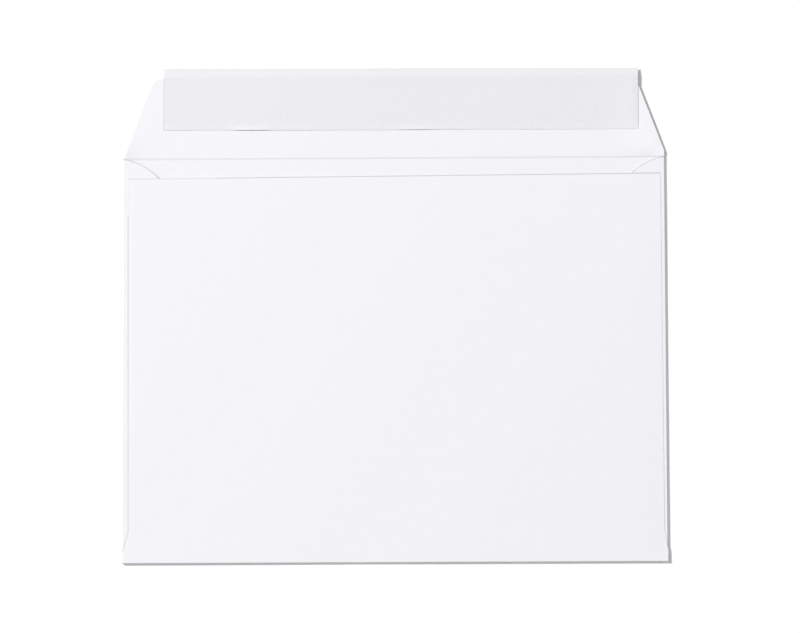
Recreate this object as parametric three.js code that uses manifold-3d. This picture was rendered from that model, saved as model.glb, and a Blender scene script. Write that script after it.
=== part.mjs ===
// A booklet envelope of white wove paper, lying on its face with the closure flap open at the top.
// One die-cut blank is folded into the face panel, two side flaps, the back panel and the closure flap.
// The closure flap carries a band of pressure-sensitive adhesive under a peel-off release liner.
//
// Millimetres, +Z up. The origin is the centre of the face panel's outer face, which lies on z = 0.
// +X runs along the long side, and +Y runs from the bottom fold to the closure flap.

import * as THREE from "three";
import { mergeVertices } from "three/addons/utils/BufferGeometryUtils.js";
import Module from "manifold-3d";

const wasm = await Module();
wasm.setup();

// Folded size
const bodyWidth = 304.8; // between the side folds
const bodyHeight = 228.6; // from the bottom fold to the flap's crease

// Layers
const paperThickness = 0.15;
const pocketGap = 0.8; // between the face panel and the side flaps
const gumThickness = 0.05;

// Back panel
const backTopDrop = 10.45; // its top edge below the crease, at mid width
const backTopSkew = 0.95; // how much lower its left end is than mid width, and how much higher its right end
const backInsetLeft = 2.7; // from the side fold to its edge, at the top
const backInsetRight = 2.2;
const backInsetLeftLow = 3.4; // the same, where the edge meets the taper
const backInsetRightLow = 1.75;
const backCornerRadius = 0.8;
const footHeight = 6.4; // the full-width foot above the bottom fold
const footShift = 0.2; // the die-cut foot lies this far to +X of the folds
const taperHeight = 17.6; // where the taper from the foot ends, above the bottom fold
const taperRadius = 6;

// Side flaps
const sideArcRadius = 36; // the curved top edge
const sideArcStart = 11; // degrees below level, where the curve leaves the fold
const sideFoldDrop = 0.2; // the fold's top end below the crease
const sideFoldFoot = 3; // the fold's lower end above the bottom fold
const sideFootSlope = 20; // degrees, the hidden lower edge
const sideFootRadius = 10;

// Seam gum between the side flaps and the back panel
const gumInset = 5; // from the side fold
const gumWidth = 10;
const gumTopDrop = 18; // below the crease
const gumFoot = 22; // above the bottom fold

// Closure flap
const flapDepth = 46.2; // from the crease to its edge, at mid width
const flapEdgeSkew = 0.3; // how much lower the edge's left end is than mid width, and how much higher its right end
const flapSlant = 20.7; // degrees, the end edges from square
const flapShoulder = 3.3; // the straight start of the right end edge
const flapCornerRadius = 7;
const flapRise = 1.15; // the flap's underside above the surface, at its edge
const creaseWidth = 0.6; // the pressed line along the crease
const creaseDepth = 0.06;

// Adhesive band and release liner
const adhesiveThickness = 0.1;
const linerThickness = 0.08;
const bondClearance = 0.02; // between curved layers that lie on each other
const linerEndMargin = 18.55; // from the body's width to each end of the liner
const linerShift = 4.15; // the liner's middle lies this far to +X
const linerHeight = 35.3;
const linerOverhang = 4.95; // past the flap's edge
const linerTurn = -0.17; // degrees
const adhesiveEndMargin = 2.8; // inside the liner's ends
const adhesiveLip = 3; // above the liner's lower edge
const adhesiveEdge = 1; // inside the flap's edge

// Fineness
const foldSegments = 12;
const flapStations = 12;
const foldLeg = 2; // how far a fold's section runs on into the panels that it joins
const cutReach = 5; // how far a cutting prism passes the sheet

// Heights of the layers above the surface
const sideFlapBottom = paperThickness + pocketGap;
const sideFlapTop = sideFlapBottom + paperThickness;
const backBottom = sideFlapTop + gumThickness;
const backTop = backBottom + paperThickness;
const sideFoldRadius = sideFlapTop / 2; // outer radii of the folds
const bottomFoldRadius = backTop / 2;

const halfWidth = bodyWidth / 2;
const crease = bodyHeight / 2;
const bottomFold = -bodyHeight / 2;
const radians = THREE.MathUtils.degToRad;

const paperMaterial = new THREE.MeshStandardMaterial({ color: 0xf3f4f8, roughness: 0.85, metalness: 0 });
const linerMaterial = new THREE.MeshStandardMaterial({ color: 0xebecee, roughness: 0.5, metalness: 0 });
const adhesiveMaterial = new THREE.MeshStandardMaterial({ color: 0xf0eee6, roughness: 0.35, metalness: 0 });
const gumMaterial = new THREE.MeshStandardMaterial({ color: 0xe9e4d4, roughness: 0.6, metalness: 0 });

// A closed geometry as a solid that can be joined and cut.
function solidOf(geometry) {
  const bare = geometry.clone();
  bare.deleteAttribute("normal");
  bare.deleteAttribute("uv");
  const merged = mergeVertices(bare, 1e-5);
  return new wasm.Manifold(
    new wasm.Mesh({
      numProp: 3,
      vertProperties: new Float32Array(merged.attributes.position.array),
      triVerts: new Uint32Array(merged.index.array),
    }),
  );
}

// A solid as a geometry.
function geometryOf(solid) {
  const mesh = solid.getMesh();
  const geometry = new THREE.BufferGeometry();
  geometry.setAttribute("position", new THREE.BufferAttribute(mesh.vertProperties, 3));
  geometry.setIndex(new THREE.BufferAttribute(mesh.triVerts, 1));
  return geometry;
}

// The other side's copy of a solid, mirrored across x = 0 with its faces turned back outwards.
function mirrored(solid) {
  const geometry = geometryOf(solid).applyMatrix4(new THREE.Matrix4().makeScale(-1, 1, 1));
  const index = geometry.index.array;
  for (let i = 0; i < index.length; i += 3) [index[i + 1], index[i + 2]] = [index[i + 2], index[i + 1]];
  return solidOf(geometry);
}

function namedMesh(name, solid, material) {
  const flat = geometryOf(solid).toNonIndexed();
  flat.computeVertexNormals();
  const mesh = new THREE.Mesh(flat, material);
  mesh.name = name;
  return mesh;
}

// A closed outline through corners of the form { x, y, radius }, each rounded by a true arc.
function roundedShape(corners) {
  const shape = new THREE.Shape();
  const count = corners.length;
  corners.forEach((corner, i) => {
    const here = new THREE.Vector2(corner.x, corner.y);
    const before = corners[(i + count - 1) % count];
    const after = corners[(i + 1) % count];
    const back = new THREE.Vector2(before.x, before.y).sub(here).normalize();
    const ahead = new THREE.Vector2(after.x, after.y).sub(here).normalize();
    const turn = Math.acos(THREE.MathUtils.clamp(back.dot(ahead), -1, 1)) / 2;
    const radius = corner.radius ?? 0;
    if (radius === 0) {
      if (i === 0) shape.moveTo(here.x, here.y);
      else shape.lineTo(here.x, here.y);
      return;
    }
    const run = radius / Math.tan(turn);
    const middle = back.clone().add(ahead).normalize().multiplyScalar(radius / Math.sin(turn)).add(here);
    const from = here.clone().addScaledVector(back, run);
    const to = here.clone().addScaledVector(ahead, run);
    const clockwise = back.cross(ahead) > 0;
    if (i === 0) shape.moveTo(from.x, from.y);
    shape.absarc(
      middle.x,
      middle.y,
      radius,
      Math.atan2(from.y - middle.y, from.x - middle.x),
      Math.atan2(to.y - middle.y, to.x - middle.x),
      clockwise,
    );
  });
  shape.closePath();
  return shape;
}

// A flat piece of the given outline, from the height bottom upwards, turned and moved in its own plane by place.
function plate(shape, bottom, thickness, place = new THREE.Matrix4()) {
  const geometry = new THREE.ExtrudeGeometry(shape, {
    depth: thickness,
    bevelEnabled: false,
    curveSegments: foldSegments,
  });
  geometry.translate(0, 0, bottom);
  geometry.applyMatrix4(place);
  return solidOf(geometry);
}

// A half-round fold of the sheet: its legs lie in the planes of the two panels that it joins.
// Outward is the direction in which the fold bulges, and start is the end where its run begins.
function fold(outerRadius, length, outward, start) {
  const innerRadius = outerRadius - paperThickness;
  const section = new THREE.Shape();
  section.moveTo(-foldLeg, 0);
  section.lineTo(0, 0);
  section.absarc(0, outerRadius, outerRadius, -Math.PI / 2, Math.PI / 2, false);
  section.lineTo(-foldLeg, 2 * outerRadius);
  section.lineTo(-foldLeg, 2 * outerRadius - paperThickness);
  section.lineTo(0, 2 * outerRadius - paperThickness);
  section.absarc(0, outerRadius, innerRadius, Math.PI / 2, -Math.PI / 2, true);
  section.lineTo(-foldLeg, paperThickness);
  section.closePath();
  const geometry = new THREE.ExtrudeGeometry(section, {
    depth: length,
    bevelEnabled: false,
    curveSegments: foldSegments,
  });
  const up = new THREE.Vector3(0, 0, 1);
  const along = new THREE.Vector3().crossVectors(outward, up);
  geometry.applyMatrix4(new THREE.Matrix4().makeBasis(outward, up, along).setPosition(start));
  return solidOf(geometry);
}

// How high the open flap's underside lies at a distance past the crease: steepest there, level at the edge.
function flapHeight(distance) {
  const share = THREE.MathUtils.clamp(distance / flapDepth, 0, 1);
  return flapRise * (1 - (1 - share) ** 2);
}

// A section drawn in the YZ plane, run along X from one end of the width to the other.
function runAcross(section, width, place) {
  const geometry = new THREE.ExtrudeGeometry(section, { depth: width, bevelEnabled: false });
  const across = new THREE.Matrix4().makeBasis(
    new THREE.Vector3(0, 1, 0),
    new THREE.Vector3(0, 0, 1),
    new THREE.Vector3(1, 0, 0),
  );
  geometry.applyMatrix4(across.setPosition(-width / 2, place, 0));
  return solidOf(geometry);
}

// A layer that follows the open flap's curve between two distances past the crease, wider than the body.
// Its y is counted from the crease, and place is where the crease lies.
function flapLayer(from, to, lift, thickness, place = 0) {
  const stations = [from];
  const step = flapDepth / flapStations;
  for (let distance = 0; distance < to; distance += step) {
    if (distance > from) stations.push(distance);
  }
  stations.push(to);
  const section = new THREE.Shape();
  stations.forEach((distance, i) => {
    const height = flapHeight(distance) + lift;
    if (i === 0) section.moveTo(distance, height);
    else section.lineTo(distance, height);
  });
  stations.reverse().forEach((distance) => section.lineTo(distance, flapHeight(distance) + lift + thickness));
  section.closePath();
  return runAcross(section, bodyWidth + 2 * cutReach, place);
}

// A tall prism of the given outline, to cut a layer of the flap to its shape.
function cutter(shape, place) {
  return plate(shape, -cutReach, 2 * cutReach + flapRise, place);
}

// The closure flap's outline, with y as the distance past the crease, drawn in by margin.
function flapOutline(margin, from) {
  const slant = Math.tan(radians(flapSlant));
  const drawnIn = margin / Math.cos(radians(flapSlant));
  const leftTop = flapDepth - flapEdgeSkew - margin;
  const rightTop = flapDepth + flapEdgeSkew - margin;
  const left = -halfWidth + drawnIn;
  const right = halfWidth - drawnIn;
  return roundedShape([
    { x: left, y: from },
    { x: right, y: from },
    { x: right, y: flapShoulder },
    { x: right - (rightTop - flapShoulder) * slant, y: rightTop, radius: flapCornerRadius - margin },
    { x: left + leftTop * slant, y: leftTop, radius: flapCornerRadius - margin },
    { x: left, y: 0 },
  ]);
}

function facePanel() {
  const footLeft = footShift - halfWidth;
  const footRight = footShift + halfWidth;
  const panelEdge = halfWidth - sideFoldRadius;
  return plate(
    roundedShape([
      { x: footLeft, y: bottomFold + bottomFoldRadius },
      { x: footRight, y: bottomFold + bottomFoldRadius },
      { x: footRight, y: bottomFold + sideFoldFoot },
      { x: panelEdge, y: bottomFold + sideFoldFoot },
      { x: panelEdge, y: crease },
      { x: -panelEdge, y: crease },
      { x: -panelEdge, y: bottomFold + sideFoldFoot },
      { x: footLeft, y: bottomFold + sideFoldFoot },
    ]),
    0,
    paperThickness,
  );
}

// The back panel: a full-width foot at the bottom fold, a taper, and edges just inside the side folds.
function backPanel() {
  const footLeft = footShift - halfWidth;
  const footRight = footShift + halfWidth;
  const top = crease - backTopDrop;
  return plate(
    roundedShape([
      { x: footLeft, y: bottomFold + bottomFoldRadius },
      { x: footRight, y: bottomFold + bottomFoldRadius },
      { x: footRight, y: bottomFold + footHeight, radius: taperRadius },
      { x: halfWidth - backInsetRightLow, y: bottomFold + taperHeight, radius: taperRadius },
      { x: halfWidth - backInsetRight, y: top + backTopSkew, radius: backCornerRadius },
      { x: backInsetLeft - halfWidth, y: top - backTopSkew, radius: backCornerRadius },
      { x: backInsetLeftLow - halfWidth, y: bottomFold + taperHeight, radius: taperRadius },
      { x: footLeft, y: bottomFold + footHeight, radius: taperRadius },
    ]),
    backBottom,
    paperThickness,
  );
}

// A side flap and its fold, on the side of the given sign.
function sideFlap(side) {
  const foldLine = halfWidth - sideFoldRadius;
  const top = crease - sideFoldDrop;
  const foot = bottomFold + sideFoldFoot;
  const start = radians(sideArcStart);
  const arcX = foldLine + sideArcRadius * Math.sin(start);
  const arcY = top - sideArcRadius * Math.cos(start);
  const innerEdge = arcX - sideArcRadius;
  const slope = Math.tan(radians(sideFootSlope));
  const corner = { x: innerEdge, y: foot + (foldLine - innerEdge) * slope };
  const opening = radians(90 + sideFootSlope) / 2;
  const run = sideFootRadius / Math.tan(opening);
  const shape = new THREE.Shape();
  shape.moveTo(foldLine, foot);
  shape.lineTo(foldLine, top);
  shape.absarc(arcX, arcY, sideArcRadius, Math.PI / 2 + start, Math.PI, false);
  shape.lineTo(innerEdge, corner.y + run);
  shape.absarc(
    innerEdge + sideFootRadius,
    corner.y + run,
    sideFootRadius,
    Math.PI,
    1.5 * Math.PI - radians(sideFootSlope),
    false,
  );
  shape.closePath();
  const flap = plate(shape, sideFlapBottom, paperThickness);
  const rightSide = flap.add(
    fold(
      sideFoldRadius,
      top - foot,
      new THREE.Vector3(1, 0, 0),
      new THREE.Vector3(foldLine, top, 0),
    ),
  );
  return side > 0 ? rightSide : mirrored(rightSide);
}

function closureFlap() {
  const strip = flapLayer(-foldLeg, flapDepth + flapEdgeSkew, 0, paperThickness, crease);
  const atCrease = new THREE.Matrix4().makeTranslation(0, crease, 0);
  return strip.intersect(cutter(flapOutline(0, -sideFoldDrop), atCrease));
}

// The pressed line along the crease, on the side that shows.
function creaseLine() {
  const section = new THREE.Shape();
  section.moveTo(-creaseWidth / 2, paperThickness);
  section.lineTo(0, paperThickness - creaseDepth);
  section.lineTo(creaseWidth / 2, paperThickness);
  section.lineTo(creaseWidth / 2, paperThickness + cutReach);
  section.lineTo(-creaseWidth / 2, paperThickness + cutReach);
  section.closePath();
  return runAcross(section, bodyWidth + 2 * cutReach, crease);
}

// The whole folded blank.
function envelopeSheet() {
  const bottom = fold(
    bottomFoldRadius,
    bodyWidth,
    new THREE.Vector3(0, -1, 0),
    new THREE.Vector3(halfWidth + footShift, bottomFold + bottomFoldRadius, 0),
  );
  return facePanel()
    .add(sideFlap(1))
    .add(sideFlap(-1))
    .add(bottom)
    .add(backPanel())
    .add(closureFlap())
    .subtract(creaseLine());
}

function seamGum() {
  return plate(
    roundedShape([
      { x: -gumWidth / 2, y: bottomFold + gumFoot },
      { x: gumWidth / 2, y: bottomFold + gumFoot },
      { x: gumWidth / 2, y: crease - gumTopDrop },
      { x: -gumWidth / 2, y: crease - gumTopDrop },
    ]),
    0,
    gumThickness,
  );
}

const linerLength = bodyWidth - 2 * linerEndMargin;
const linerTop = flapDepth + linerOverhang;
const linerLow = linerTop - linerHeight;

function releaseLiner() {
  const outline = roundedShape([
    { x: -linerLength / 2, y: -linerHeight / 2 },
    { x: linerLength / 2, y: -linerHeight / 2 },
    { x: linerLength / 2, y: linerHeight / 2 },
    { x: -linerLength / 2, y: linerHeight / 2 },
  ]);
  const lift = paperThickness + adhesiveThickness + 2 * bondClearance;
  const layer = flapLayer(linerLow - cutReach, linerTop + cutReach, lift, linerThickness);
  const place = new THREE.Matrix4().makeRotationZ(radians(linerTurn));
  place.setPosition(linerShift, linerTop - linerHeight / 2, 0);
  return layer.intersect(cutter(outline, place));
}

function adhesiveBand() {
  const left = linerShift - linerLength / 2 + adhesiveEndMargin;
  const right = linerShift + linerLength / 2 - adhesiveEndMargin;
  const low = linerLow + adhesiveLip;
  const band = roundedShape([
    { x: left, y: low },
    { x: right, y: low },
    { x: right, y: flapDepth },
    { x: left, y: flapDepth },
  ]);
  const layer = flapLayer(low - cutReach, flapDepth, paperThickness + bondClearance, adhesiveThickness);
  return layer.intersect(cutter(band)).intersect(cutter(flapOutline(adhesiveEdge, 0)));
}

const envelope = new THREE.Group();
envelope.add(namedMesh("envelope_sheet", envelopeSheet(), paperMaterial));

const seams = new THREE.Group();
seams.position.z = sideFlapTop;
for (const [name, side] of [["seam_gum_left", -1], ["seam_gum_right", 1]]) {
  const gum = namedMesh(name, seamGum(), gumMaterial);
  gum.position.x = side * (halfWidth - gumInset - gumWidth / 2);
  seams.add(gum);
}
envelope.add(seams);

const closure = new THREE.Group();
closure.position.y = crease;
closure.add(namedMesh("adhesive_band", adhesiveBand(), adhesiveMaterial));
closure.add(namedMesh("release_liner", releaseLiner(), linerMaterial));
envelope.add(closure);

export default envelope;
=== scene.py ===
"""A white booklet envelope that lies on its face with the closure flap open.

The folded sheet, its seams and its peel-and-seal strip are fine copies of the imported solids. They lie as
paper lies, nearly flat with long shallow waves, and the open flap rises to its edge. The liner lies low along
its free lower edge, lifts off the flap in a few places there, and droops past the flap's edge.
"""

import logging
import math
from dataclasses import dataclass, field
from enum import Enum

import bpy
import numpy as np
from mathutils import Matrix, Vector


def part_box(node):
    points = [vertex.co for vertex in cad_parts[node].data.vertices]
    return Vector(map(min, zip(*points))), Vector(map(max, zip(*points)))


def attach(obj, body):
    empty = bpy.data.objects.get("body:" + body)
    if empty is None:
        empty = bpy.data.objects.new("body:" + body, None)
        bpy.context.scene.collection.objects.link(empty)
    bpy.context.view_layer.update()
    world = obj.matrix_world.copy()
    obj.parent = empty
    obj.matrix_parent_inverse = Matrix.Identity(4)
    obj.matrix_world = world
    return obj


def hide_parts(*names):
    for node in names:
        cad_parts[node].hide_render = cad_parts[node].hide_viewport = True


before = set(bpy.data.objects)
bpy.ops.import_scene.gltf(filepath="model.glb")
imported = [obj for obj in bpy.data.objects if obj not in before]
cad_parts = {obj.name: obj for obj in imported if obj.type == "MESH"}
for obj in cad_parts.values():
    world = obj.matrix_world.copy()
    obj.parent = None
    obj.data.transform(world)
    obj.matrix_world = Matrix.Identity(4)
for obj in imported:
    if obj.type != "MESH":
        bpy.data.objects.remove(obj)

log = logging.getLogger("booklet_envelope")
MILLIMETRE = 0.001

Colour = tuple[float, float, float, float]
WHITE_LEVEL = 255
SCREEN_TOE = 0.04045
SCREEN_TOE_SLOPE = 12.92
SCREEN_OFFSET = 0.055
SCREEN_POWER = 2.4

# The places of the Mix node's colour sockets, because its other kinds of socket have the same names.
FIRST_COLOUR = 6
SECOND_COLOUR = 7
MIXED_COLOUR = 2


class Slot(Enum):
    """The record's material slots."""

    PAPER = "paper"
    LINER = "liner"
    ADHESIVE = "adhesive"
    GUM = "gum"


class Axis(Enum):
    """The two directions in which a sheet is cut into a grid."""

    ACROSS = 0
    ALONG = 1


def linear(red: int, green: int, blue: int) -> Colour:
    """Turns a colour as a screen shows it, from 0 to 255, into the light that a shader works with.

    Args:
        red: The red level.
        green: The green level.
        blue: The blue level.

    Returns:
        The colour in linear light, with full alpha.
    """
    levels = []
    for level in (red, green, blue):
        share = level / WHITE_LEVEL
        if share <= SCREEN_TOE:
            levels.append(share / SCREEN_TOE_SLOPE)
        else:
            levels.append(((share + SCREEN_OFFSET) / (1 + SCREEN_OFFSET)) ** SCREEN_POWER)
    return (levels[0], levels[1], levels[2], 1.0)


def deselect_all() -> None:
    """Leaves edit mode and deselects every object."""
    if bpy.context.object and bpy.context.object.mode != "OBJECT":
        bpy.ops.object.mode_set(mode="OBJECT")
    bpy.ops.object.select_all(action="DESELECT")


def make_active(piece: bpy.types.Object) -> None:
    """Selects one object alone and makes it the active one.

    Args:
        piece: The object to work on.
    """
    deselect_all()
    piece.select_set(True)
    bpy.context.view_layer.objects.active = piece


def points_of(piece: bpy.types.Object) -> np.ndarray:
    """Reads a mesh's vertices.

    Args:
        piece: A mesh object at the origin.

    Returns:
        One row of x, y and z for each vertex, in metres.
    """
    flat = np.zeros(len(piece.data.vertices) * 3, np.float32)
    piece.data.vertices.foreach_get("co", flat)
    return flat.reshape(-1, 3).astype(float)


def set_points(piece: bpy.types.Object, points: np.ndarray) -> None:
    """Moves a mesh's vertices.

    Args:
        piece: A mesh object at the origin.
        points: One row of x, y and z for each vertex, in metres.
    """
    piece.data.vertices.foreach_set("co", points.astype(np.float32).ravel())
    piece.data.update()


@dataclass
class NodeTree:
    """A material's or the world's node tree, with short calls to add nodes and join them."""

    tree: bpy.types.NodeTree

    def add(self, kind: str, **settings: object) -> bpy.types.Node:
        """Adds a node.

        Args:
            kind: The node's type, such as ShaderNodeMath.
            settings: Properties of the node to set.

        Returns:
            The new node.
        """
        node = self.tree.nodes.new(kind)
        for name, value in settings.items():
            setattr(node, name, value)
        return node

    def join(self, source: bpy.types.NodeSocket, target: bpy.types.NodeSocket) -> None:
        """Links an output socket to an input socket."""
        self.tree.links.new(source, target)

    def calculate(self, operation: str, *terms: object) -> bpy.types.NodeSocket:
        """Adds a Math node.

        Args:
            operation: The node's operation, such as MULTIPLY.
            terms: Sockets or numbers, one for each input.

        Returns:
            The node's result.
        """
        node = self.add("ShaderNodeMath", operation=operation)
        for place, term in enumerate(terms):
            if isinstance(term, bpy.types.NodeSocket):
                self.join(term, node.inputs[place])
            else:
                node.inputs[place].default_value = term
        return node.outputs[0]

    def rims(
        self,
        lines: "tuple[RimLine | RimArc, ...]",
        across: bpy.types.NodeSocket,
        along: bpy.types.NodeSocket,
    ) -> bpy.types.NodeSocket:
        """Joins the shades of several edges, and keeps the strongest where they meet.

        Args:
            lines: The edges.
            across: The place in x.
            along: The place in y.

        Returns:
            The shade, from 0 to 1.
        """
        strongest = lines[0].shade(self, across, along)
        for line in lines[1:]:
            strongest = self.calculate("MAXIMUM", strongest, line.shade(self, across, along))
        return strongest

    def noise(
        self,
        position: bpy.types.NodeSocket,
        grain: float,
        detail: float = 2.0,
    ) -> bpy.types.NodeSocket:
        """Adds a noise pattern.

        Args:
            position: Where the pattern is read.
            grain: The size of its blots, in metres.
            detail: How many finer layers it has.

        Returns:
            The pattern, about 0.5 on average.
        """
        node = self.add("ShaderNodeTexNoise")
        node.inputs["Scale"].default_value = 1 / grain
        node.inputs["Detail"].default_value = detail
        self.join(position, node.inputs["Vector"])
        return node.outputs["Fac"]

    def blend(
        self,
        share: bpy.types.NodeSocket,
        first: object,
        second: object,
    ) -> bpy.types.NodeSocket:
        """Adds a colour mix.

        Args:
            share: How much of the second colour shows, from 0 to 1.
            first: A colour or a socket.
            second: A colour or a socket.

        Returns:
            The mixed colour.
        """
        node = self.add("ShaderNodeMix", data_type="RGBA")
        self.join(share, node.inputs["Factor"])
        for colour, place in ((first, FIRST_COLOUR), (second, SECOND_COLOUR)):
            socket = node.inputs[place]
            if isinstance(colour, bpy.types.NodeSocket):
                self.join(colour, socket)
            else:
                socket.default_value = colour
        return node.outputs[MIXED_COLOUR]

    def distance_along(
        self,
        across: bpy.types.NodeSocket,
        along: bpy.types.NodeSocket,
        course: Vector,
        middle: Vector,
    ) -> bpy.types.NodeSocket:
        """Measures how far a place is from a point, along one direction of the sheet.

        Args:
            across: The place in x.
            along: The place in y.
            course: The direction, as a unit vector.
            middle: The point.

        Returns:
            The distance, without its sign.
        """
        part = self.calculate("MULTIPLY_ADD", along, course.y, -course.dot(middle))
        return self.calculate("ABSOLUTE", self.calculate("MULTIPLY_ADD", across, course.x, part))

    def band(self, value: bpy.types.NodeSocket, edge: float, softness: float) -> bpy.types.NodeSocket:
        """Rises softly from 0 to 1 where a value passes an edge.

        Args:
            value: The value that is tested.
            edge: The value at which the result is one half.
            softness: How far the value moves while the result goes from 0 to 1.

        Returns:
            The soft step.
        """
        node = self.add("ShaderNodeMapRange", interpolation_type="SMOOTHSTEP")
        self.join(value, node.inputs["Value"])
        node.inputs["From Min"].default_value = edge - softness / 2
        node.inputs["From Max"].default_value = edge + softness / 2
        return node.outputs["Result"]


@dataclass(frozen=True)
class RimLine:
    """The narrow painted shade along a straight cut edge that lies on the layer below it."""

    start: tuple[float, float]
    end: tuple[float, float]
    strength: float
    reach: float = 0.3 * MILLIMETRE
    softness: float = 0.3 * MILLIMETRE

    def shade(
        self,
        tree: NodeTree,
        across: bpy.types.NodeSocket,
        along: bpy.types.NodeSocket,
    ) -> bpy.types.NodeSocket:
        """Adds the nodes that find the edge.

        Args:
            tree: The material's tree.
            across: The place in x.
            along: The place in y.

        Returns:
            The strength next to the edge, and 0 away from it.
        """
        first = Vector(self.start)
        second = Vector(self.end)
        length = (second - first).length
        course = (second - first) / length
        middle = (first + second) / 2
        beside = tree.distance_along(across, along, Vector((-course.y, course.x)), middle)
        lengthwise = tree.distance_along(across, along, course, middle)
        near = tree.calculate("SUBTRACT", 1.0, tree.band(beside, self.reach, self.softness))
        within = tree.calculate("SUBTRACT", 1.0, tree.band(lengthwise, length / 2, self.softness))
        return tree.calculate("MULTIPLY", tree.calculate("MULTIPLY", near, within), self.strength)


@dataclass(frozen=True)
class RimArc:
    """The same painted shade along the curved tops of the side flaps, down to the back panel's edge."""

    centre: tuple[float, float]
    radius: float
    mouth: RimLine
    strength: float
    reach: float = 0.3 * MILLIMETRE
    softness: float = 0.3 * MILLIMETRE

    def shade(
        self,
        tree: NodeTree,
        across: bpy.types.NodeSocket,
        along: bpy.types.NodeSocket,
    ) -> bpy.types.NodeSocket:
        """Adds the nodes that find the curve on both sides.

        Args:
            tree: The material's tree.
            across: The place in x.
            along: The place in y.

        Returns:
            The strength next to the curve, and 0 away from it.
        """
        sideways = tree.calculate("SUBTRACT", tree.calculate("ABSOLUTE", across), self.centre[0])
        upwards = tree.calculate("SUBTRACT", along, self.centre[1])
        sideways_square = tree.calculate("MULTIPLY", sideways, sideways)
        square = tree.calculate("MULTIPLY_ADD", upwards, upwards, sideways_square)
        beyond = tree.calculate("SUBTRACT", tree.calculate("SQRT", square), self.radius)
        off = tree.calculate("ABSOLUTE", beyond)
        near = tree.calculate("SUBTRACT", 1.0, tree.band(off, self.reach, self.softness))
        slope = (self.mouth.end[1] - self.mouth.start[1]) / (self.mouth.end[0] - self.mouth.start[0])
        level = self.mouth.start[1] - slope * self.mouth.start[0]
        edge = tree.calculate("MULTIPLY_ADD", across, slope, level)
        above = tree.band(tree.calculate("SUBTRACT", along, edge), 0.0, self.softness)
        return tree.calculate("MULTIPLY", tree.calculate("MULTIPLY", near, above), self.strength)


@dataclass(frozen=True)
class Finish:
    """What every finish of the envelope has: a name, and a shader with its own roughness and bump."""

    name: str
    roughness: float
    bump_height: float

    def start(self) -> tuple[bpy.types.Material, NodeTree, bpy.types.Node, bpy.types.NodeSocket]:
        """Makes the material and its coordinates.

        Returns:
            The material, its tree, its shader and the position on the object in metres.
        """
        material = bpy.data.materials.new(self.name)
        material.use_nodes = True
        tree = NodeTree(material.node_tree)
        shader = material.node_tree.nodes["Principled BSDF"]
        shader.inputs["Roughness"].default_value = self.roughness
        place = tree.add("ShaderNodeTexCoord").outputs["Object"]
        return material, tree, shader, place

    def relief(self, tree: NodeTree, shader: bpy.types.Node, height: bpy.types.NodeSocket) -> None:
        """Gives the shader its bump.

        Args:
            tree: The material's tree.
            shader: The shader that gets the bump.
            height: The relief, from 0 to 1.
        """
        bump = tree.add("ShaderNodeBump")
        bump.inputs["Strength"].default_value = 1.0
        bump.inputs["Distance"].default_value = self.bump_height
        tree.join(height, bump.inputs["Height"])
        tree.join(bump.outputs["Normal"], shader.inputs["Normal"])


# Where the painted shade along the cut edges runs, as x and y in metres. The painted shade is faint near the
# panel's top left corner.
PANEL_TOP_LEFT = (-0.1497, 0.1029)
PANEL_TOP_RIGHT = (0.1502, 0.1048)
PANEL_LOW_LEFT = (-0.149, -0.0967)
FOOT_LEFT = (-0.1522, -0.1079)
MOUTH_DARK_FROM = (-0.101, 0.10321)
SIDE_DARK_TO = (-0.14963, 0.0825)
LINER_LOW_LEFT = (-0.12975, 0.13055)
LINER_HIGH_LEFT = (-0.12967, 0.1602)
SIDE_CURVE_CENTRE = (0.15872, 0.07876)
SIDE_CURVE_RADIUS = 0.036
MOUTH_REACH = 0.34 * MILLIMETRE
SIDE_REACH = 0.38 * MILLIMETRE
MOUTH = RimLine(PANEL_TOP_LEFT, PANEL_TOP_RIGHT, strength=0.6, reach=MOUTH_REACH)
LINER_RIM = RimLine(LINER_LOW_LEFT, LINER_HIGH_LEFT, strength=0.7)
PAPER_RIMS = (
    MOUTH,
    RimLine(MOUTH_DARK_FROM, PANEL_TOP_RIGHT, strength=1.0, reach=MOUTH_REACH),
    LINER_RIM,
    RimLine(PANEL_LOW_LEFT, PANEL_TOP_LEFT, strength=0.3, reach=SIDE_REACH),
    RimLine(PANEL_LOW_LEFT, SIDE_DARK_TO, strength=0.7, reach=SIDE_REACH),
    RimLine(FOOT_LEFT, PANEL_LOW_LEFT, strength=0.8),
    RimArc(SIDE_CURVE_CENTRE, SIDE_CURVE_RADIUS, MOUTH, strength=0.85),
)


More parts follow.
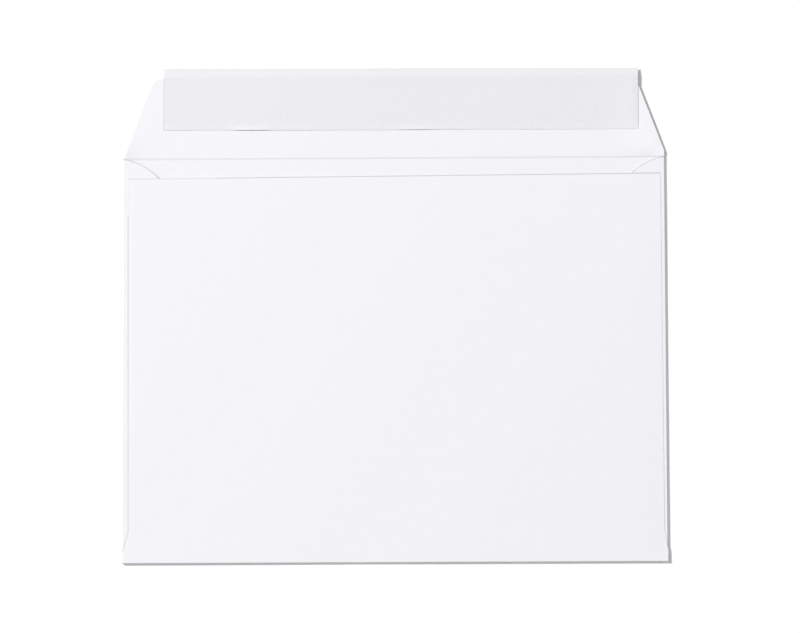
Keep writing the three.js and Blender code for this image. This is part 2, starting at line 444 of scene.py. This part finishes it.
@dataclass(frozen=True)
class WovePaper(Finish):
    """White wove paper: cloudy fibres, a fine felt, painted shade along the crease and rims, and a flap
    painted brighter.
    """

    name: str = "white_wove_paper"
    roughness: float = 0.8
    bump_height: float = 0.012 * MILLIMETRE
    light_tint: Colour = linear(245, 245, 249)
    dark_tint: Colour = linear(242, 242, 246)
    # Painted light: the open flap's tints are lighter than the panel's, to offset the shade of its slope away
    # from the lamp.
    flap_light_tint_painted_brighter: Colour = linear(247, 247, 251)
    flap_dark_tint_painted_brighter: Colour = linear(244, 244, 248)
    # Painted shade for the crease line.
    crease_painted_shade_tint: Colour = linear(226, 226, 230)
    # Painted shade along the cut edges that lie on a lower layer.
    rim_painted_shade_tint: Colour = linear(206, 206, 212)
    formation_grain: float = 7 * MILLIMETRE
    felt_grain: float = 0.55 * MILLIMETRE
    formation_detail: float = 4.0
    felt_detail: float = 3.0
    specular: float = 0.08
    crease_y: float = 114.05 * MILLIMETRE
    crease_reach: float = 0.45 * MILLIMETRE
    underside: float = 0.06 * MILLIMETRE

    def material(self) -> bpy.types.Material:
        """Builds the material.

        Returns:
            The finished material.
        """
        material, tree, shader, place = self.start()
        clouds = tree.noise(place, self.formation_grain, self.formation_detail)
        felt = tree.noise(place, self.felt_grain, self.felt_detail)
        split = tree.add("ShaderNodeSeparateXYZ")
        tree.join(place, split.inputs[0])
        panel_tint = tree.blend(clouds, self.light_tint, self.dark_tint)
        # The flap's tints, painted brighter, are blended in past the crease.
        painted_brighter_flap_tint = tree.blend(clouds, self.flap_light_tint_painted_brighter, self.flap_dark_tint_painted_brighter)
        flap_painted_light_mask = tree.band(split.outputs["Y"], self.crease_y, self.crease_reach)
        sheet_tint = tree.blend(flap_painted_light_mask, panel_tint, painted_brighter_flap_tint)
        # Painted shade darkens a narrow band along the crease.
        away = tree.calculate("ABSOLUTE", tree.calculate("SUBTRACT", split.outputs["Y"], self.crease_y))
        pressed = tree.calculate("SUBTRACT", 1.0, tree.band(away, self.crease_reach, self.crease_reach))
        with_crease_shade = tree.blend(pressed, sheet_tint, self.crease_painted_shade_tint)
        # Painted shade along the cut edges, on the upper faces only.
        shade = tree.rims(PAPER_RIMS, split.outputs["X"], split.outputs["Y"])
        upper = tree.calculate("GREATER_THAN", split.outputs["Z"], self.underside)
        painted_rim_shade = tree.calculate("MULTIPLY", shade, upper)
        tree.join(tree.blend(painted_rim_shade, with_crease_shade, self.rim_painted_shade_tint), shader.inputs["Base Color"])
        shader.inputs["Specular IOR Level"].default_value = self.specular
        self.relief(tree, shader, felt)
        return material


@dataclass(frozen=True)
class GlassineLiner(Finish):
    """Pale grey release paper with a fine speckle, a bonded tint, painted shade on its free areas and painted
    light on its lip.
    """

    name: str = "release_liner_paper"
    roughness: float = 0.48
    bump_height: float = 0.008 * MILLIMETRE
    # Painted shade: the free overhang and ends are darker, to offset the lamp's light where the overhang
    # droops towards it.
    free_painted_shade_tint: Colour = linear(234, 234, 236)
    bonded_tint: Colour = linear(236, 236, 238)
    # Painted light: the free lower lip is lighter, to offset the shade of its droop away from the lamp.
    lip_painted_light_tint: Colour = linear(239, 239, 241)
    speckle_tint: Colour = linear(226, 226, 229)
    rim_painted_shade_tint: Colour = linear(206, 206, 212)
    speckle_grain: float = 1.1 * MILLIMETRE
    speckle_share: float = 0.6
    speckle_level: float = 0.62
    speckle_softness: float = 0.3
    speckle_detail: float = 3.0
    specular: float = 0.35
    edge_y: float = 160.5 * MILLIMETRE
    edge_slope: float = 0.0024
    bond_left: float = -126.9 * MILLIMETRE
    bond_right: float = 135.2 * MILLIMETRE
    softness: float = 0.5 * MILLIMETRE
    lip_end: float = 133.6 * MILLIMETRE
    lip_slope: float = -0.003
    lip_softness: float = 3.0 * MILLIMETRE

    def material(self) -> bpy.types.Material:
        """Builds the material.

        Returns:
            The finished material.
        """
        material, tree, shader, place = self.start()
        split = tree.add("ShaderNodeSeparateXYZ")
        tree.join(place, split.inputs[0])
        across = split.outputs["X"]
        along = split.outputs["Y"]
        edge = tree.calculate("MULTIPLY_ADD", across, self.edge_slope, self.edge_y)
        inside = tree.band(tree.calculate("SUBTRACT", edge, along), 0.0, self.softness)
        right_of = tree.band(across, self.bond_left, self.softness)
        left_of = tree.band(tree.calculate("SUBTRACT", self.bond_right, across), 0.0, self.softness)
        ends = tree.calculate("MULTIPLY", right_of, left_of)
        bonded = tree.calculate("MULTIPLY", inside, ends)
        flat_tint = tree.blend(bonded, self.free_painted_shade_tint, self.bonded_tint)
        # Painted light on the lip, fading out above it.
        lip_top = tree.calculate("MULTIPLY_ADD", across, self.lip_slope, self.lip_end)
        lip_light_share = tree.band(tree.calculate("SUBTRACT", lip_top, along), 0.0, self.lip_softness)
        tint = tree.blend(lip_light_share, flat_tint, self.lip_painted_light_tint)
        grain = tree.noise(place, self.speckle_grain, self.speckle_detail)
        spots = tree.band(grain, self.speckle_level, self.speckle_softness)
        speckle = tree.calculate("MULTIPLY", spots, self.speckle_share)
        speckled = tree.blend(speckle, tint, self.speckle_tint)
        # Painted shade along the liner's left edge.
        tree.join(
            tree.blend(LINER_RIM.shade(tree, across, along), speckled, self.rim_painted_shade_tint),
            shader.inputs["Base Color"],
        )
        shader.inputs["Specular IOR Level"].default_value = self.specular
        self.relief(tree, shader, grain)
        return material


@dataclass(frozen=True)
class Film(Finish):
    """A thin film of adhesive or dried gum, with a faint brushed unevenness."""

    tint: Colour
    thick_tint: Colour
    grain: float = 2.5 * MILLIMETRE

    def material(self) -> bpy.types.Material:
        """Builds the material.

        Returns:
            The finished material.
        """
        material, tree, shader, place = self.start()
        flow = tree.noise(place, self.grain)
        tree.join(tree.blend(flow, self.tint, self.thick_tint), shader.inputs["Base Color"])
        self.relief(tree, shader, flow)
        return material


@dataclass(frozen=True)
class Wave:
    """One long wave of the paper: how far it goes across and along before it repeats, and how high it is."""

    across: float
    along: float
    height: float
    phase: float

    def at(self, points: np.ndarray) -> np.ndarray:
        """Gives the wave's height at points of the sheet.

        Args:
            points: Rows of x, y and z, in metres.

        Returns:
            One height for each point, between minus and plus the wave's height.
        """
        turns = points[:, 0] / self.across + points[:, 1] / self.along
        return self.height * np.sin(2 * math.pi * turns + self.phase)


@dataclass(frozen=True)
class Curl:
    """How one slanted end of the open flap stands up, and how the side fold holds up the crease's end."""

    rise: float
    depth: float
    reach: float
    share: float
    corner_rise: float

    def lift(self, straight: np.ndarray, depth: np.ndarray, inward: np.ndarray) -> np.ndarray:
        """Gives how far the curled end stands above the straight flap.

        Args:
            straight: The straight flap's heights.
            depth: How far each point lies past the crease.
            inward: How far each point lies inside the slanted edge.

        Returns:
            One height for each point.
        """
        curled = np.maximum(straight, self.rise * (1 - np.exp(-depth / self.depth)))
        near = np.exp(-((inward / self.reach) ** 2)) * (inward > -self.reach)
        return (curled - straight) * near * self.share


@dataclass(frozen=True)
class Lie:
    """How the paper lies: pressed on the surface, with shallow waves that grow towards the top layer."""

    full_height: float
    half_width: float = 152.4 * MILLIMETRE
    bottom_y: float = -114.3 * MILLIMETRE
    crease_y: float = 114.3 * MILLIMETRE
    side_fold: float = 0.55 * MILLIMETRE
    bottom_fold: float = 0.65 * MILLIMETRE
    press: float = 6.0
    fold_slack: float = 1.01
    least_reach: float = 1e-9
    flap_depth: float = 46.2 * MILLIMETRE
    flap_rise: float = 1.15 * MILLIMETRE
    left_curl: Curl = Curl(
        rise=1.0 * MILLIMETRE,
        depth=8.0 * MILLIMETRE,
        reach=22.0 * MILLIMETRE,
        share=0.3,
        corner_rise=0.4 * MILLIMETRE,
    )
    right_curl: Curl = Curl(
        rise=1.15 * MILLIMETRE,
        depth=3.0 * MILLIMETRE,
        reach=14.0 * MILLIMETRE,
        share=1.0,
        corner_rise=0.8 * MILLIMETRE,
    )
    corner_reach: float = 5.0 * MILLIMETRE
    corner_run: float = 2.5 * MILLIMETRE
    left_seat: float = 0.035 * MILLIMETRE
    right_seat: float = 0.04 * MILLIMETRE
    right_thinning: float = 0.035 * MILLIMETRE
    taper_start: float = 140.0 * MILLIMETRE
    taper_reach: float = 9.4 * MILLIMETRE
    panel_low: float = 1.14 * MILLIMETRE
    panel_middle: float = 1.225 * MILLIMETRE
    gum_edge: float = 147.4 * MILLIMETRE
    seat_reach: float = 2.0 * MILLIMETRE
    slant: float = math.tan(math.radians(20.7))
    waves: tuple[Wave, ...] = (
        Wave(across=0.260, along=0.410, height=0.055 * MILLIMETRE, phase=0.6),
        Wave(across=0.118, along=-0.190, height=0.028 * MILLIMETRE, phase=2.1),
        Wave(across=-0.071, along=0.097, height=0.012 * MILLIMETRE, phase=4.4),
    )

    def squared(self, out: np.ndarray, up: np.ndarray, radius: float) -> tuple[np.ndarray, np.ndarray]:
        """Moves points of a round fold to where they lie once it is pressed nearly square.

        Args:
            out: The way outward from the fold's middle.
            up: The way upward from the fold's middle.
            radius: The fold's outer radius, which the points don't pass.

        Returns:
            The new ways outward and upward.
        """
        round_reach = np.hypot(out, up)
        square_reach = (np.abs(out) ** self.press + np.abs(up) ** self.press) ** (1 / self.press)
        factor = round_reach / np.maximum(square_reach, self.least_reach)
        return np.minimum(out * factor, radius), np.clip(up * factor, -radius, radius)

    def press_folds(self, points: np.ndarray) -> None:
        """Presses the two side folds and the bottom fold, in place.

        Args:
            points: Rows of x, y and z, in metres.
        """
        side = np.sign(points[:, 0])
        fold_x = self.half_width - self.side_fold
        out = np.abs(points[:, 0]) - fold_x
        up = points[:, 2] - self.side_fold
        in_fold = np.hypot(out, up) < self.fold_slack * self.side_fold
        at_side = (out > 0) & in_fold & (points[:, 1] < self.crease_y)
        out, up = self.squared(out, up, self.side_fold)
        points[at_side, 0] = (side * (fold_x + out))[at_side]
        points[at_side, 2] = (self.side_fold + up)[at_side]
        fold_y = self.bottom_y + self.bottom_fold
        out = fold_y - points[:, 1]
        up = points[:, 2] - self.bottom_fold
        at_bottom = out > 0
        out, up = self.squared(out, up, self.bottom_fold)
        points[at_bottom, 1] = (fold_y - out)[at_bottom]
        points[at_bottom, 2] = (self.bottom_fold + up)[at_bottom]

    def curl(self, points: np.ndarray) -> np.ndarray:
        """Gives how the open flap lies: straight from the crease to its edge, and curled up at its slants.

        Args:
            points: Rows of x, y and z, in metres.

        Returns:
            One height for each point, measured from the solid's own smooth rise.
        """
        depth = np.clip(points[:, 1] - self.crease_y, 0.0, self.flap_depth)
        smooth = self.flap_rise * (1 - (1 - depth / self.flap_depth) ** 2)
        straight = self.flap_rise * depth / self.flap_depth
        inward = self.half_width - depth * self.slant - np.abs(points[:, 0])
        at_left = self.left_curl.lift(straight, depth, inward)
        at_right = self.right_curl.lift(straight, depth, inward)
        return straight - smooth + np.where(points[:, 0] < 0, at_left, at_right)

    def lift_corners(self, points: np.ndarray) -> np.ndarray:
        """Gives how far the sheet is held up at the two ends of the crease, where the side folds meet it.

        Args:
            points: Rows of x, y and z, in metres.

        Returns:
            One height for each point, 0 away from the corners and on the upper layers.
        """
        at_left = points[:, 0] < 0
        rise = np.where(at_left, self.left_curl.corner_rise, self.right_curl.corner_rise)
        run = np.where(at_left, self.left_curl.depth, self.right_curl.depth)
        inward = (self.half_width - np.abs(points[:, 0])) / self.corner_reach
        below = np.clip((self.crease_y - points[:, 1]) / self.corner_run, 0.0, None)
        above = np.clip(points[:, 1] - self.crease_y, 0.0, None) / run
        upper = np.clip(points[:, 2] / (2 * self.side_fold), 0.0, 1.0) * (points[:, 1] < self.crease_y)
        return rise * np.exp(-(inward**2) - below**2 - above**2) * (1 - upper)

    def seat_panel(self, points: np.ndarray) -> np.ndarray:
        """Gives how far the back panel's side edges sink towards the side flaps, beyond the gum.

        The seat is less than the gum's thickness, so the panel stays clear of the flap below it. The panel
        also thins gently from above towards its right edge.

        Args:
            points: Rows of x, y and z, in metres.

        Returns:
            One height for each point, 0 or less.
        """
        width = np.abs(points[:, 0])
        at_left = points[:, 0] < 0
        beyond = np.clip((width - self.gum_edge) / self.seat_reach, 0.0, 1.0)
        sink = np.where(at_left, self.left_seat, self.right_seat) * beyond
        taper = np.clip((width - self.taper_start) / self.taper_reach, 0.0, 1.0)
        right_top = (points[:, 2] > self.panel_middle) & ~at_left
        sink = np.where(right_top, (self.right_seat + self.right_thinning) * taper, sink)
        panel = (points[:, 2] > self.panel_low) & (points[:, 1] < self.crease_y)
        return -sink * panel * (points[:, 1] > self.bottom_y + self.bottom_fold)

    def settle(self, piece: bpy.types.Object) -> None:
        """Moves a piece's vertices to how the paper lies: folds, panel edges, corners, flap and waves.

        Args:
            piece: A mesh object at the origin.
        """
        points = points_of(piece)
        self.press_folds(points)
        points[:, 2] += self.seat_panel(points)
        points[:, 2] += self.lift_corners(points)
        points[:, 2] += self.curl(points)
        crest = sum(wave.height for wave in self.waves)
        sink = crest - sum(wave.at(points) for wave in self.waves)
        share = np.clip(points[:, 2] / self.full_height, 0.0, 1.0)
        points[:, 2] -= sink * share
        set_points(piece, points)


@dataclass
class PaperPiece:
    """A piece of the envelope: a fine copy of one solid, cut into a grid so that it can wave."""

    name: str
    node: str
    slot: Slot
    finish: bpy.types.Material
    lie: Lie
    cell: float = 4 * MILLIMETRE
    extra_cuts: tuple[float, ...] = ()
    smooth_angle: float = math.radians(32)
    flat_angle: float = math.radians(0.05)
    merge_reach: float = 0.001 * MILLIMETRE
    sliver: float = 0.004 * MILLIMETRE
    piece: bpy.types.Object | None = field(default=None, init=False)

    def copy_solid(self) -> bpy.types.Object:
        """Copies the solid's mesh into a new object, with its loose triangles merged.

        Returns:
            The new object, at the origin.
        """
        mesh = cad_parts[self.node].data.copy()
        mesh.materials.clear()
        piece = bpy.data.objects.new(self.name, mesh)
        bpy.context.scene.collection.objects.link(piece)
        make_active(piece)
        bpy.ops.mesh.customdata_custom_splitnormals_clear()
        bpy.ops.object.mode_set(mode="EDIT")
        bpy.ops.mesh.select_all(action="SELECT")
        bpy.ops.mesh.remove_doubles(threshold=self.merge_reach)
        bpy.ops.object.mode_set(mode="OBJECT")
        return piece

    def cut_grid(self, axis: Axis) -> None:
        """Cuts the active piece into strips across one axis, and marks each cut as a seam.

        Args:
            axis: The axis that the cuts stand square to.
        """
        low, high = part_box(self.node)
        start = low[axis.value]
        reach = high[axis.value] - start
        count = max(1, round(reach / self.cell))
        cuts = [start + reach * step / count for step in range(1, count)]
        if axis is Axis.ACROSS:
            cuts.extend(self.extra_cuts)
        normal = Vector((0, 0, 0))
        normal[axis.value] = 1
        bpy.ops.object.mode_set(mode="EDIT")
        bpy.ops.mesh.select_mode(type="EDGE")
        for cut in cuts:
            place = Vector((0, 0, 0))
            place[axis.value] = cut
            bpy.ops.mesh.select_all(action="SELECT")
            bpy.ops.mesh.bisect(plane_co=place, plane_no=normal)
            bpy.ops.mesh.mark_seam()
        bpy.ops.object.mode_set(mode="OBJECT")

    def clear_triangles(self) -> None:
        """Clears the active piece's old triangles and slivers, so that its flat faces follow the grid."""
        bpy.ops.object.mode_set(mode="EDIT")
        bpy.ops.mesh.select_all(action="SELECT")
        bpy.ops.mesh.dissolve_limited(angle_limit=self.flat_angle, delimit={"SEAM"})
        bpy.ops.mesh.select_all(action="SELECT")
        bpy.ops.mesh.mark_seam(clear=True)
        bpy.ops.mesh.remove_doubles(threshold=self.sliver)
        bpy.ops.mesh.quads_convert_to_tris(quad_method="BEAUTY", ngon_method="BEAUTY")
        bpy.ops.mesh.dissolve_degenerate(threshold=self.sliver)
        bpy.ops.object.mode_set(mode="OBJECT")

    def shape(self) -> None:
        """Moves the grid's vertices to how the piece lies."""
        self.lie.settle(self.piece)

    def build(self) -> bpy.types.Object:
        """Makes the piece, shapes it and dresses it.

        Returns:
            The finished piece.
        """
        self.piece = self.copy_solid()
        for axis in Axis:
            self.cut_grid(axis)
        self.clear_triangles()
        self.shape()
        make_active(self.piece)
        bpy.ops.object.shade_smooth_by_angle(angle=self.smooth_angle)
        self.piece.data.materials.append(self.finish)
        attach(self.piece, "root")
        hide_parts(self.node)
        log.info("%s: %d faces", self.name, len(self.piece.data.polygons))
        return self.piece


@dataclass
class Liner(PaperPiece):
    """The release liner, with a free lower edge and an upper edge that runs past the flap's.

    A rise gives the middle, the reach and the height of a lift of the lower edge. A trim gives a place and
    how far the cut lies above the straight edge there.
    """

    left_end: float = -129.7 * MILLIMETRE
    right_end: float = 138.0 * MILLIMETRE
    flap_edge: float = 160.0 * MILLIMETRE
    overhang_start: float = 160.7 * MILLIMETRE
    overhang: float = 5.1 * MILLIMETRE
    overhang_droop: float = 0.35 * MILLIMETRE
    end_droop: float = 0.07 * MILLIMETRE
    end_lip: float = 2.6 * MILLIMETRE
    lower_edge: float = 130.16 * MILLIMETRE
    edge_slope: float = math.tan(math.radians(-0.17))
    lip: float = 3.4 * MILLIMETRE
    droop: float = 0.1 * MILLIMETRE
    rise_power: int = 4
    rises: tuple[tuple[float, float, float], ...] = (
        (-122 * MILLIMETRE, 7 * MILLIMETRE, 0.03 * MILLIMETRE),
        (-80 * MILLIMETRE, 11 * MILLIMETRE, 0.28 * MILLIMETRE),
        (-53 * MILLIMETRE, 12 * MILLIMETRE, 0.05 * MILLIMETRE),
        (12 * MILLIMETRE, 10 * MILLIMETRE, 0.2 * MILLIMETRE),
        (30 * MILLIMETRE, 14 * MILLIMETRE, 0.06 * MILLIMETRE),
        (74 * MILLIMETRE, 12 * MILLIMETRE, 0.02 * MILLIMETRE),
    )
    trims: tuple[tuple[float, float], ...] = (
        (-120 * MILLIMETRE, 0.08 * MILLIMETRE),
        (-78 * MILLIMETRE, 0.2 * MILLIMETRE),
        (-55 * MILLIMETRE, 0.03 * MILLIMETRE),
        (-7 * MILLIMETRE, 0.0),
        (5 * MILLIMETRE, 0.22 * MILLIMETRE),
        (18 * MILLIMETRE, 0.4 * MILLIMETRE),
        (60 * MILLIMETRE, 0.27 * MILLIMETRE),
        (98 * MILLIMETRE, 0.12 * MILLIMETRE),
        (120 * MILLIMETRE, 0.3 * MILLIMETRE),
    )

    def shape(self) -> None:
        """Lays the liner on the flap: its lower edge lifts and wanders, and its ends and overhang droop."""
        super().shape()
        points = points_of(self.piece)
        from_edge = points[:, 1] - self.lower_edge - points[:, 0] * self.edge_slope
        lip_share = np.clip(1 - from_edge / self.lip, 0.0, 1.0)
        height = np.full(len(points), -self.droop)
        for middle, reach, rise in self.rises:
            height += rise * np.exp(-(((points[:, 0] - middle) / reach) ** self.rise_power))
        from_end = np.minimum(points[:, 0] - self.left_end, self.right_end - points[:, 0])
        ends = np.clip(1 - from_end / self.end_lip, 0.0, 1.0) * (points[:, 1] < self.flap_edge)
        places, trims = zip(*self.trims)
        points[:, 1] += np.interp(points[:, 0], places, trims) * lip_share
        past = np.clip((points[:, 1] - self.overhang_start) / self.overhang, 0.0, 1.0)
        points[:, 2] -= self.overhang_droop * past * (2 - past)
        lift = lip_share**2 * height
        points[:, 2] += np.maximum(lift - self.end_droop * ends, np.minimum(lift, -self.droop))
        set_points(self.piece, points)


@dataclass
class Envelope:
    """The whole envelope: the folded sheet, its two gummed seams and the peel-and-seal strip."""

    full_height: float = 1.3 * MILLIMETRE
    fine_cell: float = 2.5 * MILLIMETRE

    def build(self) -> list[bpy.types.Object]:
        """Builds every piece.

        Returns:
            The finished pieces.
        """
        lie = Lie(self.full_height)
        paper = WovePaper().material()
        liner = GlassineLiner().material()
        adhesive = Film(
            name="pressure_sensitive_adhesive",
            roughness=0.3,
            bump_height=0.01 * MILLIMETRE,
            tint=linear(238, 236, 228),
            thick_tint=linear(230, 228, 218),
        ).material()
        gum = Film(
            name="dried_seam_gum",
            roughness=0.55,
            bump_height=0.01 * MILLIMETRE,
            tint=linear(236, 231, 216),
            thick_tint=linear(224, 218, 198),
        ).material()
        parts = [
            PaperPiece(
                "folded_sheet",
                "envelope_sheet",
                Slot.PAPER,
                paper,
                lie,
                extra_cuts=(-lie.gum_edge, lie.gum_edge),
            ),
            PaperPiece("left_gum_seam", "seam_gum_left", Slot.GUM, gum, lie),
            PaperPiece("right_gum_seam", "seam_gum_right", Slot.GUM, gum, lie),
            PaperPiece("adhesive_film", "adhesive_band", Slot.ADHESIVE, adhesive, lie, self.fine_cell),
            Liner("peel_strip", "release_liner", Slot.LINER, liner, lie, self.fine_cell),
        ]
        return [part.build() for part in parts]


@dataclass
class Studio:
    """The plain white floor, the even sky and the soft light from the upper left."""

    floor_reach: float = 12.0
    floor_drop: float = 0.02 * MILLIMETRE
    floor_tint: float = 0.97
    floor_glow: float = 0.09
    far_glow: float = 0.6
    glow_start: float = 0.45
    glow_softness: float = 0.3
    sky_strength: float = 0.35
    key_distance: float = 10.0
    key_elevation: float = math.radians(28)
    key_azimuth: float = math.radians(146)
    key_size: float = 1.5
    key_power: float = 1370.0

    def seen_directly(self, tree: NodeTree) -> bpy.types.NodeSocket:
        """Tells the rays that see a surface or the sky from those that light the object.

        Args:
            tree: The tree that the switch is added to.

        Returns:
            1 for camera, glossy and transmission rays, and 0 for others.
        """
        path = tree.add("ShaderNodeLightPath")
        seen = tree.calculate("MAXIMUM", path.outputs["Is Camera Ray"], path.outputs["Is Glossy Ray"])
        return tree.calculate("MAXIMUM", seen, path.outputs["Is Transmission Ray"])

    def add_floor(self) -> None:
        """Adds the white floor, which shows as pure white and keeps the envelope's shadow."""
        deselect_all()
        bpy.ops.mesh.primitive_plane_add(size=2 * self.floor_reach, location=(0, 0, -self.floor_drop))
        floor = bpy.context.object
        floor.name = "white_floor"
        bpy.ops.object.transform_apply(location=True)
        material = bpy.data.materials.new("white_surface")
        material.use_nodes = True
        tree = NodeTree(material.node_tree)
        material.node_tree.nodes.remove(material.node_tree.nodes["Principled BSDF"])
        matt = tree.add("ShaderNodeBsdfDiffuse")
        matt.inputs["Color"].default_value = (self.floor_tint, self.floor_tint, self.floor_tint, 1)
        glow = tree.add("ShaderNodeEmission")
        away = tree.add("ShaderNodeVectorMath", operation="LENGTH")
        tree.join(tree.add("ShaderNodeTexCoord").outputs["Object"], away.inputs[0])
        far = tree.band(away.outputs["Value"], self.glow_start, self.glow_softness)
        level = tree.calculate("MULTIPLY_ADD", far, self.far_glow, self.floor_glow)
        strength = tree.calculate("MULTIPLY", self.seen_directly(tree), level)
        tree.join(strength, glow.inputs["Strength"])
        both = tree.add("ShaderNodeAddShader")
        tree.join(matt.outputs[0], both.inputs[0])
        tree.join(glow.outputs[0], both.inputs[1])
        tree.join(both.outputs[0], material.node_tree.nodes["Material Output"].inputs["Surface"])
        floor.data.materials.append(material)

    def add_sky(self) -> None:
        """Lights the scene evenly from all around, with white behind the object."""
        world = bpy.data.worlds.new("soft_sky")
        bpy.context.scene.world = world
        world.use_nodes = True
        tree = NodeTree(world.node_tree)
        background = world.node_tree.nodes["Background"]
        background.inputs["Color"].default_value = (1, 1, 1, 1)
        strength = tree.add("ShaderNodeMapRange")
        tree.join(self.seen_directly(tree), strength.inputs["Value"])
        strength.inputs["To Min"].default_value = self.sky_strength
        strength.inputs["To Max"].default_value = 1.0
        tree.join(strength.outputs["Result"], background.inputs["Strength"])

    def add_key(self) -> None:
        """Adds the large soft lamp to the upper left."""
        deselect_all()
        level = self.key_distance * math.cos(self.key_elevation)
        place = Vector(
            (
                level * math.cos(self.key_azimuth),
                level * math.sin(self.key_azimuth),
                self.key_distance * math.sin(self.key_elevation),
            )
        )
        bpy.ops.object.light_add(type="AREA", location=place)
        lamp = bpy.context.object
        lamp.name = "key_lamp"
        lamp.rotation_euler = place.to_track_quat("Z", "Y").to_euler()
        lamp.data.shape = "DISK"
        lamp.data.size = self.key_size
        lamp.data.energy = self.key_power

    def add_all(self) -> None:
        """Adds the floor, the sky and the lamp."""
        self.add_floor()
        self.add_sky()
        self.add_key()


@dataclass
class View:
    """The camera, which looks down on the envelope from a little below its middle."""

    tilt: float = math.radians(7.37)
    lean: float = math.radians(0.96)
    roll: float = math.radians(0.294)
    distance: float = 2.969
    aim: tuple[float, float, float] = (3.36 * MILLIMETRE, 24.15 * MILLIMETRE, 0.0)
    seen_width: float = 449.26 * MILLIMETRE
    sensor_width: float = 36.0
    clip_end: float = 60.0

    def add_camera(self) -> None:
        """Adds the camera and makes it the scene's own."""
        tipped = Matrix.Rotation(-self.tilt, 3, "X")
        leaned = Matrix.Rotation(-self.lean, 3, "Y")
        rolled = Matrix.Rotation(self.roll, 3, "Z")
        to_view = rolled @ leaned @ tipped
        turn = to_view.transposed()
        place = Vector(self.aim) + turn @ Vector((0, 0, self.distance))
        deselect_all()
        bpy.ops.object.camera_add(location=place, rotation=turn.to_euler())
        camera = bpy.context.object
        camera.data.sensor_fit = "HORIZONTAL"
        camera.data.sensor_width = self.sensor_width
        camera.data.lens = self.sensor_width * self.distance / self.seen_width
        camera.data.clip_end = self.clip_end
        bpy.context.scene.camera = camera


def main() -> None:
    """Builds the camera, the envelope and the studio, and reports each piece."""
    logging.basicConfig(level=logging.INFO, format="%(name)s %(message)s")
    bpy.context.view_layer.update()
    bpy.context.scene.view_settings.view_transform = "Standard"
    View().add_camera()
    pieces = Envelope().build()
    Studio().add_all()
    log.info("built %d pieces", len(pieces))


if __name__ == "__main__":
    main()
